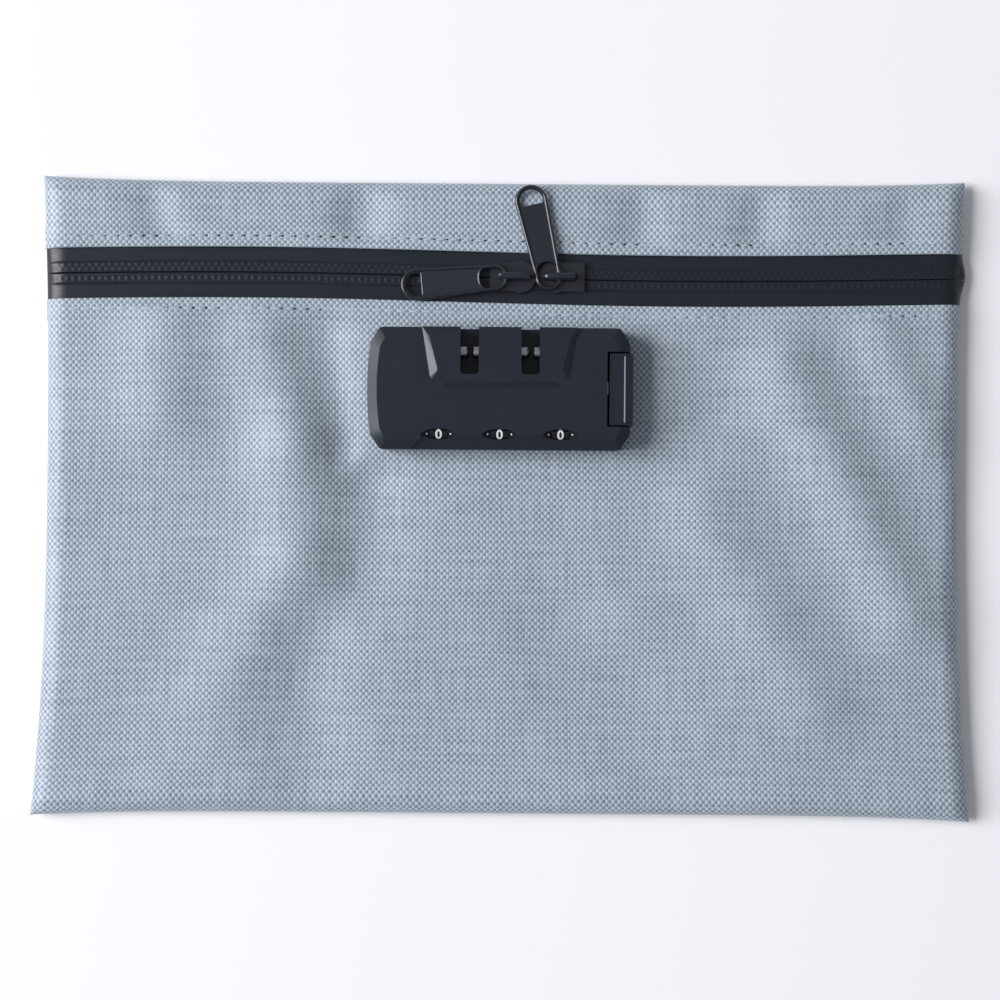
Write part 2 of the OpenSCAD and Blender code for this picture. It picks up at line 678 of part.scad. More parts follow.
back_panel();
front_lower_panel();
front_upper_panel();
seam_binding_side(-1);  // seam_binding_left
seam_binding_side(1);  // seam_binding_right
seam_binding_edge(1);  // seam_binding_top
seam_binding_edge(-1);  // seam_binding_bottom
zip_tape(1);  // zip_tape_upper
zip_tape(-1);  // zip_tape_lower
zip_coil(1);  // zip_coil_upper
zip_coil(-1);  // zip_coil_lower
topstitch(1);  // topstitch_upper
topstitch(-1);  // topstitch_lower
zip_slider(-1);  // zip_slider_left
zip_slider(1);  // zip_slider_right
zip_pull_left();
zip_pull_right();
lock_housing();
lock_base_plate();
lock_inner_plate();
lock_screws();
bolt_strikers();
dial_shaft();
detent_spring();
return_spring();
latch_bar();
latch_bolts();
release_button();
code_change_slider();
dial(-1);  // dial_left
dial(0);  // dial_middle
dial(1);  // dial_right
cam_sleeve(-1);  // cam_sleeve_left
cam_sleeve(0);  // cam_sleeve_middle
cam_sleeve(1);  // cam_sleeve_right
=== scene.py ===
import json
import math

import bmesh
import bpy
from mathutils import Matrix, Vector, noise


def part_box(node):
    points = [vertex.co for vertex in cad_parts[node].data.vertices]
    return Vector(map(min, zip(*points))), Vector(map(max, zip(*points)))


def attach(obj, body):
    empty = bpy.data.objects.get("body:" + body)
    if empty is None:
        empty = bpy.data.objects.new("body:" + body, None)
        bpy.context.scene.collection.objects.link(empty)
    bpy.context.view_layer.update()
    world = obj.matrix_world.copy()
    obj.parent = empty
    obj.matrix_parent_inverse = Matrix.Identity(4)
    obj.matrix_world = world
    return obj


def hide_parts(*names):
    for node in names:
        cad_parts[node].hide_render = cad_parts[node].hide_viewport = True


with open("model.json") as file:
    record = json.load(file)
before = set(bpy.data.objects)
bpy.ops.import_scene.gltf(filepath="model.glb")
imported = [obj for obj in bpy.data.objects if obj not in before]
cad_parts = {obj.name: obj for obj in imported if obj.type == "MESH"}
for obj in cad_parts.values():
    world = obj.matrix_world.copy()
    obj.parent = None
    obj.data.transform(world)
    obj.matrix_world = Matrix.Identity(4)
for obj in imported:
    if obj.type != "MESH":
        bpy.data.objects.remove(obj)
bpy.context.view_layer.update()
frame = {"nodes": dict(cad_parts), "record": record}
MM = 0.001

# ---- Floor, light and camera ----
# The bag lies on a pale seamless floor. A broad soft window of light stands at its left, plain daylight
# fills the rest of the room, and the camera looks straight down on the front face.
floor_mesh = bmesh.new()
bmesh.ops.create_grid(floor_mesh, x_segments=1, y_segments=1, size=3)
floor = bpy.data.objects.new("floor", bpy.data.meshes.new("floor"))
floor_mesh.to_mesh(floor.data)
floor_mesh.free()
bpy.context.scene.collection.objects.link(floor)


def linear(hex_colour):
    """An sRGB hex colour as the linear RGBA that shaders take."""
    values = [int(hex_colour[i:i + 2], 16) / 255 for i in (1, 3, 5)]
    return [v / 12.92 if v <= 0.04045 else ((v + 0.055) / 1.055) ** 2.4 for v in values] + [1]


def add(material, kind, inputs=None, **settings):
    """Adds one shader node to a material; an input is a value or another node's output."""
    tree = material.node_tree
    node = tree.nodes.new("ShaderNode" + kind)
    for key, value in settings.items():
        setattr(node, key, value)
    for key, value in (inputs or {}).items():
        if isinstance(value, bpy.types.NodeSocket):
            tree.links.new(value, node.inputs[key])
        else:
            node.inputs[key].default_value = value
    return node


def new_material(name, **shader_values):
    """A material and its one Principled shader, whose plain sockets are set directly."""
    material = bpy.data.materials.new(name)
    material.use_nodes = True
    shader = material.node_tree.nodes["Principled BSDF"]
    for key, value in shader_values.items():
        shader.inputs[key.replace("_", " ")].default_value = value
    return material, shader


def feed(material, output, shader, socket):
    material.node_tree.links.new(output, shader.inputs[socket])


# Matt white paper sweep: no gloss, a trace of warmth.
paper, paper_shader = new_material("paper_sweep", Roughness=0.9, Base_Color=linear("#fbfbfc"))
paper_coord = add(paper, "TexCoord")
paper_grain = add(paper, "TexNoise", {"Vector": paper_coord.outputs["Object"], "Scale": 900, "Detail": 2})
paper_bump = add(paper, "Bump", {"Strength": 0.05, "Distance": 0.0001, "Height": paper_grain.outputs["Fac"]})
feed(paper, paper_bump.outputs["Normal"], paper_shader, "Normal")
floor.data.materials.append(paper)

world = bpy.data.worlds.new("studio")
world.use_nodes = True
world.node_tree.nodes["Background"].inputs["Color"].default_value = linear("#eff2f7")
world.node_tree.nodes["Background"].inputs["Strength"].default_value = 0.3
bpy.context.scene.world = world


def soft_light(name, place, target, width, height, watts, colour):
    lamp = bpy.data.lights.new(name, "AREA")
    lamp.shape = "RECTANGLE"
    lamp.size = width
    lamp.size_y = height
    lamp.energy = watts
    lamp.color = linear(colour)[:3]
    holder = bpy.data.objects.new(name, lamp)
    holder.location = place
    holder.rotation_euler = (Vector(target) - Vector(place)).to_track_quat("-Z", "Y").to_euler()
    bpy.context.scene.collection.objects.link(holder)


soft_light("window", (-2.5, 0.24, 1.9), (0, 0, 0), 1.8, 2.2, 132, "#fbfcff")
bpy.context.scene.view_settings.view_transform = "Standard"

FIELD = 0.3
FABRIC_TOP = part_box("front_lower_panel")[1].z
camera = bpy.data.objects.new("camera", bpy.data.cameras.new("camera"))
camera.data.lens = 85
camera.data.sensor_width = 36
camera.location = (-0.0006, -0.00045, FABRIC_TOP + FIELD * 85 / 36)
camera.rotation_euler.z = math.radians(0.45)
bpy.context.scene.collection.objects.link(camera)
bpy.context.scene.camera = camera

# ---- Pouch cloth: back panel, front lower panel, front upper strip ----
# Coated plain-weave polyester. The panels are sewn face to face round the edge and turned, so their
# edges roll over to a seam at mid height. The two zip edges are folded under and topstitched.
back_lo, back_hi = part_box("back_panel")
SEAM_Z = back_hi.z
BOTTOM_HALF = (back_hi.x - back_lo.x) / 2
WAIST_HALF = 137.25 * MM
TOP_HALF = 139 * MM
HALF_H = 95 * MM
WAIST_Y = 30 * MM
EAR = 1.3 * MM
ZIP_Y = 66.5 * MM
ZIP_HALF = 7.6 * MM
CLOTH = 0.4 * MM
ROLL = 6.5 * MM
HEM_R = 0.42 * MM
EDGE_ARC = ROLL * 1.25
FLAT_HALF = WAIST_HALF + EDGE_ARC - ROLL
STITCH_IN = 3.3 * MM
STITCH_PITCH = 3.8 * MM
lock_lo, lock_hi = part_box("lock_housing")


def half_width(y):
    if y < WAIST_Y:
        return WAIST_HALF + (BOTTOM_HALF - WAIST_HALF) * ((WAIST_Y - y) / (WAIST_Y + HALF_H)) ** 3
    return WAIST_HALF + (TOP_HALF - WAIST_HALF) * ((y - WAIST_Y) / (HALF_H - WAIST_Y)) ** 2


def half_height(x):
    return HALF_H + EAR * (abs(x) / WAIST_HALF) ** 6


def zip_line(x):
    """The zip's centre line, which wanders a little because the cloth pulls on it."""
    return ZIP_Y - 0.9 * MM * math.sin(2 * math.pi * (x + 12 * MM) / (260 * MM))


def smooth(a, b, v):
    t = min(1, max(0, (v - a) / (b - a)))
    return t * t * (3 - 2 * t)


# Soft ridges and valleys left by handling: ends of each, its half width and its rise, in mm
FOLDS = [
    ((84, 40), (121, -32), 11, 3.4), ((60, -2), (94, -60), 12, 2.1), ((-72, 48), (-63, 18), 11, 1.9),
    ((-63, 18), (-60, -18), 12, 2.1), ((-63, -22), (-83, -58), 13, 1.7), ((-54, 44), (-40, 8), 10, -2.0),
    ((-39, 8), (-41, -20), 12, -1.4), ((-101, 52), (-103, 28), 13, 2.4), ((-58, -42), (-59, -84), 12, -1.5),
    ((113, 51), (127, 20), 8, 1.7), ((-106, 94), (-103, 79), 6, -1.4), ((-43, 93), (-43, 78), 7, -2.2),
    ((41, 93), (41, 78), 7, -1.6), ((78, 94), (76, 78), 6.5, -1.7), ((122, 94), (120, 80), 7, -1.2),
    ((18, -40), (52, -84), 16, -1.2),
]


def swell(x, y):
    """How far the slack front cloth stands above its flat level."""
    slack = 0.4 if y > ZIP_Y else 1
    height = 0.8 * MM * slack * noise.noise(Vector((x * 17, y * 21, 3.7)))
    height += 0.35 * MM * slack * noise.noise(Vector((x * 48, y * 52, 9.1)))
    for (x0, y0), (x1, y1), wide, rise in FOLDS:
        a, b = Vector((x0, y0)) * MM, Vector((x1, y1)) * MM
        along = min(1, max(0, (Vector((x, y)) - a).dot(b - a) / (b - a).length_squared))
        away = (Vector((x, y)) - a - along * (b - a)).length / (wide * MM)
        height += rise * MM * math.exp(-away * away)
    lock_gap = max(lock_lo.x - x, x - lock_hi.x, lock_lo.y - y, y - lock_hi.y)
    return height * smooth(-1 * MM, 12 * MM, lock_gap) * smooth(8 * MM, 13 * MM, abs(y - zip_line(x)))


def roll(distance):
    """Inset and share of the height at a distance along the cloth from the seam."""
    turn = math.pi / 2 * min(1, max(0, distance / EDGE_ARC))
    return ROLL * (1 - math.cos(turn)) + max(0, distance - EDGE_ARC), math.sin(turn)


def spread(start, end, fine_start, fine_end, count):
    """Places along the cloth from start to end, closer together at an end that is marked fine."""
    places = []
    for k in range(count + 1):
        t = k / count
        if fine_start and fine_end:
            t -= 0.1 * math.sin(2 * math.pi * t)
        elif fine_start:
            t = t ** 1.6
        elif fine_end:
            t = 1 - (1 - t) ** 1.6
        places.append(start + (end - start) * t)
    return places


def sheet_mesh(name, columns, rows, place, thickness, row_length=1):
    """A grid of columns from -1 to 1 and rows along the cloth, moved to where place says.

    Its UVs stay flat, in metres: a row unit is row_length long."""
    shape = bmesh.new()
    bmesh.ops.create_grid(shape, x_segments=len(columns) - 1, y_segments=len(rows) - 1, size=1)
    flat = shape.loops.layers.uv.new("flat")
    at = {}
    for v in shape.verts:
        i = round((v.co.x + 1) / 2 * (len(columns) - 1))
        j = round((v.co.y + 1) / 2 * (len(rows) - 1))
        at[v] = (columns[i], rows[j])
        v.co = place(*at[v])
    for face in shape.faces:
        face.smooth = True
        for loop in face.loops:
            u, v = at[loop.vert]
            loop[flat].uv = (u * FLAT_HALF, v * row_length)
    sheet = bpy.data.objects.new(name, bpy.data.meshes.new(name))
    shape.to_mesh(sheet.data)
    shape.free()
    bpy.context.scene.collection.objects.link(sheet)
    solid = sheet.modifiers.new("thickness", "SOLIDIFY")
    solid.thickness = thickness
    solid.offset = -1
    return sheet


SEAM_COLUMNS = spread(-1, 1, True, True, 190)


def across(u, y):
    """A column, from -1 to 1, as a place along the cloth, its x, and its share of the height."""
    side = math.copysign(1, u)
    reach = half_width(y) - ROLL + EDGE_ARC
    cloth = abs(u) * reach
    inset, rise = roll(reach - cloth)
    return side * cloth, side * (half_width(y) - inset), rise


def pucker(x, y):
    """The cloth is drawn down along the topstitching and puffs up between it and the fold."""
    from_zip = abs(y - zip_line(x)) - ZIP_HALF
    along = 0.5 + 0.5 * math.cos(2 * math.pi * x / STITCH_PITCH)
    drawn = 0.26 * MM * (0.7 + 0.3 * along) * math.exp(-((from_zip - STITCH_IN) / (0.8 * MM)) ** 2)
    puff = 0.12 * MM * math.exp(-((from_zip - 1.6 * MM) / (1.0 * MM)) ** 2)
    return puff - drawn


# Rows count along the cloth from the outer seam; past the fold they run back underneath.
HEM_TURN = math.pi * HEM_R
HEM_UNDER = 6 * MM


def hem_rows(length, count):
    body = spread(0, length, True, False, count)
    turn = [length + HEM_TURN * k / 6 for k in range(1, 7)]
    under = [length + HEM_TURN + HEM_UNDER * k / 4 for k in range(1, 5)]
    return body + turn + under


def hem_drop(past):
    """How far the cloth has dropped at a distance past the start of its fold."""
    if past <= 0:
        return 0
    return -HEM_R * (1 - math.cos(min(past / HEM_R, math.pi)))


def hem_out(past):
    """How far a row lies towards the zip at a distance past the start of its fold."""
    if past <= 0:
        return 0
    if past < HEM_TURN:
        return HEM_R * math.sin(past / HEM_R)
    return HEM_TURN - past


def finish_as(piece, node, body):
    """The piece stands in for a drawn node and on its body."""
    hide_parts(node)
    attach(piece, body)


def front_panel(name, node, side, count):
    """The front cloth on one side of the zip: side is -1 below it and 1 above it."""
    near_zip = ZIP_Y + side * (ZIP_HALF + HEM_R)
    hem_start = abs(side * HALF_H - near_zip) - ROLL + EDGE_ARC

    def y_of(v, x):
        inset, _ = roll(v)
        share = min(1, v / hem_start)
        outer = side * (half_height(x) - inset)
        bend = zip_line(x) - ZIP_Y
        return outer + share ** 2 * (bend - side * (half_height(x) - HALF_H)) \
            - side * hem_out(v - hem_start) + side * max(0, v - hem_start)

    def place(u, v):
        _, x, rise_x = across(u, y_of(v, 0))
        y = y_of(v, x)
        rise = rise_x * roll(v)[1]
        z = SEAM_Z + (FABRIC_TOP - SEAM_Z) * rise + hem_drop(v - hem_start)
        return Vector((x, y, z + (swell(x, y) + pucker(x, y)) * rise ** 2))

    panel = sheet_mesh(name, SEAM_COLUMNS, hem_rows(hem_start, count), place, CLOTH)
    if side > 0:
        panel.data.flip_normals()
    finish_as(panel, node, "pouch")
    return panel


lower_cloth = front_panel("front_lower_cloth", "front_lower_panel", -1, 110)
upper_cloth = front_panel("front_upper_cloth", "front_upper_panel", 1, 22)

# A hole is cut under the lock, where the code-change slider comes through from inside the bag.
slot_lo, slot_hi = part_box("code_change_slider")
HOLE_GAP = 0.7 * MM
cut = bmesh.new()
cut.from_mesh(lower_cloth.data)
under_slider = [v for v in cut.verts if slot_lo.x - HOLE_GAP < v.co.x < slot_hi.x + HOLE_GAP
                and slot_lo.y - HOLE_GAP < v.co.y < slot_hi.y + HOLE_GAP]
bmesh.ops.delete(cut, geom=under_slider, context="VERTS")
cut.to_mesh(lower_cloth.data)
cut.free()


def back_place(u, v):
    y = v * HALF_H
    _, x, rise_x = across(u, y)
    inset, rise_y = roll((1 - abs(v)) * (HALF_H - ROLL + EDGE_ARC))
    y = math.copysign(half_height(x) - inset, v)
    rise = rise_x * rise_y
    slack = 0.5 * MM * max(0, noise.noise(Vector((x * 16, y * 19, 21.3)))) * rise
    return Vector((x, y, SEAM_Z * (1 - rise) + slack))


back_cloth = sheet_mesh("back_panel_cloth", SEAM_COLUMNS, spread(-1, 1, True, True, 130), back_place, CLOTH,
                        HALF_H + EDGE_ARC - ROLL)
back_cloth.data.flip_normals()
finish_as(back_cloth, "back_panel", "pouch")

# Plain-weave polyester oxford, coated on its inside. Bright filament yarns cross over and under; the light
# and dark diamonds in its colour are painted light on the crowns and painted shade between them, and the
# yarns differ a little in thickness, which draws faint streaks.
YARN_X = 0.91 * MM
YARN_Y = 0.98 * MM
oxford, oxford_shader = new_material(
    "coated_oxford_polyester", Roughness=0.52, Sheen_Weight=0.25, Sheen_Roughness=0.4, IOR=1.5)
cloth_uv = add(oxford, "UVMap", uv_map="flat")
cloth_axes = add(oxford, "SeparateXYZ", {"Vector": cloth_uv.outputs["UV"]})
uneven = add(oxford, "TexNoise", {"Vector": cloth_uv.outputs["UV"], "Scale": 260, "Detail": 2})


def yarn_wave(axis, pitch):
    """A sine that changes sign from one yarn to the next, with the yarns wandering slightly."""
    strayed = add(oxford, "Math", {0: uneven.outputs["Fac"], 1: 0.16 * pitch, 2: cloth_axes.outputs[axis]},
                  operation="MULTIPLY_ADD")
    turns = add(oxford, "Math", {0: strayed.outputs[0], 1: math.pi / pitch}, operation="MULTIPLY")
    return add(oxford, "Math", {0: turns.outputs[0]}, operation="SINE")


warp = yarn_wave("X", YARN_X)
weft = yarn_wave("Y", YARN_Y)
over = add(oxford, "Math", {0: warp.outputs[0], 1: weft.outputs[0]}, operation="MULTIPLY")
floats_and_painted_weave_light = add(oxford, "MapRange", {"Value": over.outputs[0], "From Min": -0.75, "From Max": 0.75}, clamp=True)
crown_x = add(oxford, "Math", {0: warp.outputs[0]}, operation="ABSOLUTE")
crown_y = add(oxford, "Math", {0: weft.outputs[0]}, operation="ABSOLUTE")
crown = add(oxford, "Math", {0: crown_x.outputs[0], 1: crown_y.outputs[0]}, operation="MULTIPLY")
streak_scale = add(oxford, "VectorMath", {0: cloth_uv.outputs["UV"], 1: (1100, 60, 1)}, operation="MULTIPLY")
streaks = add(oxford, "TexNoise", {"Vector": streak_scale.outputs[0], "Scale": 1, "Detail": 1})
cross_scale = add(oxford, "VectorMath", {0: cloth_uv.outputs["UV"], 1: (50, 1000, 1)}, operation="MULTIPLY")
cross_streaks = add(oxford, "TexNoise", {"Vector": cross_scale.outputs[0], "Scale": 1, "Detail": 1})
blend_streaks = add(oxford, "Math", {0: streaks.outputs["Fac"], 1: cross_streaks.outputs["Fac"]},
                    operation="ADD")
# The over-and-under checker goes into the colour as painted light on the yarn crowns and painted shade
# between them, on top of the random yarn streaks.
tone_in = add(oxford, "Math", {0: blend_streaks.outputs[0], 1: 0.5, 2: floats_and_painted_weave_light.outputs["Result"]},
              operation="MULTIPLY_ADD")
tone = add(oxford, "ValToRGB", {"Fac": add(
    oxford, "MapRange", {"Value": tone_in.outputs[0], "From Min": 0.25, "From Max": 1.45}).outputs["Result"]})
# Dark end: painted shade between the yarns. Light end: painted light on the yarn crowns. Middle: the cloth's
# own grey.
tone.color_ramp.elements[0].color = linear("#59626e")
tone.color_ramp.elements[1].color = linear("#c1cbd7")
middle = tone.color_ramp.elements.new(0.5)
middle.color = linear("#949fae")
feed(oxford, tone.outputs["Color"], oxford_shader, "Base Color")
relief = add(oxford, "Math", {0: crown.outputs[0], 1: 0.6, 2: floats_and_painted_weave_light.outputs["Result"]},
             operation="MULTIPLY_ADD")
weave_bump = add(oxford, "Bump", {"Strength": 0.7, "Distance": 0.12 * MM, "Height": relief.outputs[0]})
feed(oxford, weave_bump.outputs["Normal"], oxford_shader, "Normal")
for cloth in (lower_cloth, upper_cloth, back_cloth):
    cloth.data.materials.append(oxford)

# ---- Zip tapes ----
# Polyester tape laminated with a satin polyurethane film. The coil is sewn to the inner side, so its
# elements press through the film as two rows of small bumps beside the slit where the films meet.
TAPE_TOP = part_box("zip_tape_upper")[1].z
TAPE_REACH = 15.5 * MM
SLIT = 0.04 * MM
COIL_PITCH = 2.0 * MM
CHAIN_HALF = 3.3 * MM


def tape_relief(x, from_slit, side):
    """Height of the film over the coil, falling away at the slit and outside the chain."""
    raised = 0.42 * MM * (1 - smooth(2.7 * MM, CHAIN_HALF + 0.4 * MM, from_slit))
    lip = -0.16 * MM * (1 - smooth(0, 0.35 * MM, from_slit))
    phase = 2 * math.pi * x / COIL_PITCH
    if side > 0:
        dots = 0.5 + 0.5 * math.cos(phase + (math.pi if from_slit > 1.7 * MM else 0))
        rows = sum(math.exp(-((from_slit - line * MM) / (0.4 * MM)) ** 2) for line in (1.1, 2.4))
    else:
        dots = smooth(0.15, 0.75, 0.5 + 0.5 * math.cos(phase))
        rows = math.exp(-((from_slit - 1.7 * MM) / (0.55 * MM)) ** 2)
    return raised + lip - 0.16 * MM * dots * rows


def tape_place(side):
    def place(u, v):
        y0 = ZIP_Y + side * v
        _, x, rise = across(u, y0)
        wave = 0.15 * MM * math.sin(x * 95) * smooth(4 * MM, 7 * MM, v)
        bulge = 1.5 * MM * math.exp(-((y0 - ZIP_Y - 1 * MM) / (5 * MM)) ** 2) if u > 0 else 0
        x += bulge * (1 - smooth(0, 0.6, rise))
        hidden = -1.9 * MM * smooth(ZIP_HALF + 0.6 * MM, ZIP_HALF + 4 * MM, v)
        z = SEAM_Z + (TAPE_TOP - SEAM_Z) * rise + (tape_relief(x, v, side) + wave + hidden) * rise ** 2
        return Vector((x, zip_line(x) + side * v, z))
    return place


def emboss(material, shader, noise_node, strength, distance):
    """A noise as fine relief in the surface."""
    height = noise_node.outputs["Fac"]
    bump = add(material, "Bump", {"Strength": strength, "Distance": distance, "Height": height})
    feed(material, bump.outputs["Normal"], shader, "Normal")


def vary_gloss(material, shader, noise_node, low, high):
    """A noise as roughness between two values."""
    mapped = add(material, "MapRange", {"Value": noise_node.outputs["Fac"], "To Min": low, "To Max": high})
    feed(material, mapped.outputs["Result"], shader, "Roughness")


laminate, laminate_shader = new_material(
    "polyurethane_laminated_tape", Base_Color=linear("#181e28"), Roughness=0.4, IOR=1.45)
film_noise = add(laminate, "TexNoise", {
    "Vector": add(laminate, "TexCoord").outputs["Object"], "Scale": 1400, "Detail": 3})
emboss(laminate, laminate_shader, film_noise, 0.14, 0.05 * MM)
vary_gloss(laminate, laminate_shader, film_noise, 0.3, 0.45)
TAPE_COLUMNS = [k / 320 - 1 for k in range(641)]
for side, node in ((1, "zip_tape_upper"), (-1, "zip_tape_lower")):
    across_tape = [SLIT + CHAIN_HALF * 1.25 * k / 16 for k in range(17)]
    across_tape += [CHAIN_HALF * 1.25 + (TAPE_REACH - CHAIN_HALF * 1.25) * k / 6 for k in range(1, 7)]
    tape = sheet_mesh(node + "_film", TAPE_COLUMNS, across_tape, tape_place(side), 0.7 * MM)
    if side < 0:
        tape.data.flip_normals()
    tape.data.materials.append(laminate)
    finish_as(tape, node, "pouch")

# ---- Topstitching ----
# One lockstitch row on each side of the zip, in light grey bonded polyester thread, through the folded
# edges. Each stitch lies in a small valley and dips into a needle hole at both ends.
THREAD_R = 0.24 * MM


def join(shape, name, materials):
    """Makes an object from a bmesh."""
    piece = bpy.data.objects.new(name, bpy.data.meshes.new(name))
    shape.to_mesh(piece.data)
    shape.free()
    for material in materials:
        piece.data.materials.append(material)
    bpy.context.scene.collection.objects.link(piece)
    return piece


thread, thread_shader = new_material("bonded_polyester_thread", Roughness=0.6, Sheen_Weight=0.2)
thread_coord = add(thread, "TexCoord")
twist = add(thread, "TexWave", {"Vector": thread_coord.outputs["Object"], "Scale": 900, "Distortion": 0.5},
            bands_direction="DIAGONAL")
thread_tone = add(thread, "ValToRGB", {"Fac": twist.outputs["Fac"]})
thread_tone.color_ramp.elements[0].color = linear("#98a2b0")
thread_tone.color_ramp.elements[1].color = linear("#cdd4dd")
feed(thread, thread_tone.outputs["Color"], thread_shader, "Base Color")
needle_dark, _ = new_material("needle_hole_shadow", Base_Color=linear("#2b313b"), Roughness=0.9)
for side, node in ((1, "topstitch_upper"), (-1, "topstitch_lower")):
    row = bmesh.new()
    count = int((2 * WAIST_HALF - 9 * MM) / STITCH_PITCH)
    for k in range(count):
        x = (k - (count - 1) / 2) * STITCH_PITCH
        y = zip_line(x) + side * (ZIP_HALF + STITCH_IN)
        z = FABRIC_TOP + pucker(x, y) + swell(x, y)
        lean = 0.07 * side + 0.05 * noise.noise(Vector((k * 0.7, side, 0)))
        before = len(row.faces)
        stitch = bmesh.ops.create_icosphere(row, subdivisions=2, radius=1)["verts"]
        place = Matrix.Translation((x, y, z + 0.12 * MM)) @ Matrix.Rotation(lean, 4, "Z") @ Matrix.Diagonal(
            (1.42 * MM, THREAD_R * 1.25, THREAD_R, 1))
        bmesh.ops.transform(row, matrix=place, verts=stitch)
        hole = bmesh.ops.create_icosphere(row, subdivisions=1, radius=1)["verts"]
        place = Matrix.Translation((x + STITCH_PITCH / 2, y, z + 0.03 * MM)) @ Matrix.Diagonal(
            (0.5 * MM, 0.4 * MM, 0.22 * MM, 1))
        bmesh.ops.transform(row, matrix=place, verts=hole)
        row.faces.ensure_lookup_table()
        for face in row.faces[before:]:
            face.smooth = True
            face.material_index = int(face.verts[0] in hole)
    stitches = join(row, node + "_thread", [thread, needle_dark])
    finish_as(stitches, node, "pouch")

# ---- Hard pieces that keep their drawn shape ----
# Castings and mouldings get a small radius on every edge, as their tools leave it.


def bevel_edges(shape, edges, radius, segments):
    bmesh.ops.bevel(shape, geom=edges, offset=radius, offset_type="OFFSET", affect="EDGES", segments=segments,
                    profile=0.5, material=-1, clamp_overlap=True)


def rounded(node, radius, segments=3, sharp=25, crown=0):
    """A copy of a drawn piece with merged faces and rounded edges; a crown rounds its top bar fully."""
    shape = bmesh.new()
    shape.from_mesh(frame["nodes"][node].data)
    bmesh.ops.remove_doubles(shape, verts=shape.verts, dist=0.002 * MM)
    bmesh.ops.dissolve_limit(shape, angle_limit=math.radians(1.5), verts=shape.verts, edges=shape.edges)
    bmesh.ops.recalc_face_normals(shape, faces=shape.faces)
    if crown:
        top = max(v.co.z for v in shape.verts)
        bar = [e for e in shape.edges if len(e.link_faces) == 2 and e.is_convex and e.calc_face_angle(0) > 1
               and sum(v.co.z for v in e.verts) / 2 > top - 1.2 * MM
               and abs(e.verts[0].co.y - e.verts[1].co.y) < 0.01 * MM]
        bevel_edges(shape, bar, crown, 5)
    edges = [e for e in shape.edges if len(e.link_faces) == 2 and e.calc_face_angle(0) > math.radians(sharp)]
    bevel_edges(shape, edges, radius, segments)
    for face in shape.faces:
        face.smooth = face.calc_area() < 3 * MM * MM
    return shape


def soften(piece, angle=35):
    """Smooth shading that breaks at true corners and stays flat on wide faces."""
    piece.data.set_sharp_from_angle(angle=math.radians(angle))
    weights = piece.modifiers.new("weighted_normals", "WEIGHTED_NORMAL")
    weights.keep_sharp = True


def grain(material, scale):
    """A fine noise in the piece's own space, with its scale in cells per metre."""
    coord = add(material, "TexCoord")
    return add(material, "TexNoise", {"Vector": coord.outputs["Object"], "Scale": scale, "Detail": 2})


def tool_lines(material, scale):
    """A noise that is drawn out along one axis; each scale is in cells per metre."""
    coord = add(material, "TexCoord")
    drawn_out = add(material, "VectorMath", {0: coord.outputs["Object"], 1: scale}, operation="MULTIPLY")
    return add(material, "TexNoise", {"Vector": drawn_out.outputs[0], "Scale": 1, "Detail": 2})


# Moulded ABS with a fine spark-eroded satin: dark blue-black, with soft broad highlights on its edges.
abs_satin, abs_shader = new_material("moulded_abs_satin", Base_Color=linear("#1a212c"), IOR=1.5)
abs_coord = add(abs_satin, "TexCoord")
abs_grain = add(abs_satin, "TexNoise", {"Vector": abs_coord.outputs["Object"], "Scale": 2600, "Detail": 2})
emboss(abs_satin, abs_shader, abs_grain, 0.16, 0.02 * MM)
abs_cloud = add(abs_satin, "TexNoise", {"Vector": abs_coord.outputs["Object"], "Scale": 90, "Detail": 3})
vary_gloss(abs_satin, abs_shader, abs_cloud, 0.29, 0.4)

# Zinc die casting under black stove enamel: near black, semi-gloss, faint orange peel.
enamel, enamel_shader = new_material(
    "black_enamelled_zinc", Base_Color=linear("#181e28"), Roughness=0.3, IOR=1.55, Coat_Weight=0.4,
    Coat_Roughness=0.16)
peel = grain(enamel, 700)
emboss(enamel, enamel_shader, peel, 0.12, 0.03 * MM)

# Turned and ground steel, lightly brushed along its length.
steel, steel_shader = new_material("bright_ground_steel", Base_Color=linear("#c9ccd0"), Metallic=1)
vary_gloss(steel, steel_shader, tool_lines(steel, (60, 1500, 1500)), 0.3, 0.38)

# Hard-drawn spring steel wire and strip, a little darker than the ground steel.
spring_steel, spring_shader = new_material("spring_steel", Base_Color=linear("#9a9da3"), Metallic=1)
vary_gloss(spring_steel, spring_shader, grain(spring_steel, 1500), 0.22, 0.4)

# Free-machining brass, turned, with fine tool lines.
brass, brass_shader = new_material("turned_brass", Base_Color=linear("#c9a45a"), Metallic=1)
vary_gloss(brass, brass_shader, tool_lines(brass, (5000, 300, 300)), 0.2, 0.4)

# Woven polyester binding tape, black, with a rib across it.
binding, binding_shader = new_material("woven_binding_tape", Roughness=0.8, Sheen_Weight=0.2)
ribs = add(binding, "TexWave", {"Vector": add(binding, "TexCoord").outputs["Object"], "Scale": 700},
           bands_direction="DIAGONAL")
rib_tone = add(binding, "ValToRGB", {"Fac": ribs.outputs["Fac"]})
rib_tone.color_ramp.elements[0].color = linear("#0c0e12")
rib_tone.color_ramp.elements[1].color = linear("#2a2e36")
feed(binding, rib_tone.outputs["Color"], binding_shader, "Base Color")

# Extruded polyester monofilament of the coil: black and slightly glossy.
monofilament, filament_shader = new_material("polyester_monofilament", Base_Color=linear("#14171c"))
vary_gloss(monofilament, filament_shader, grain(monofilament, 900), 0.28, 0.5)

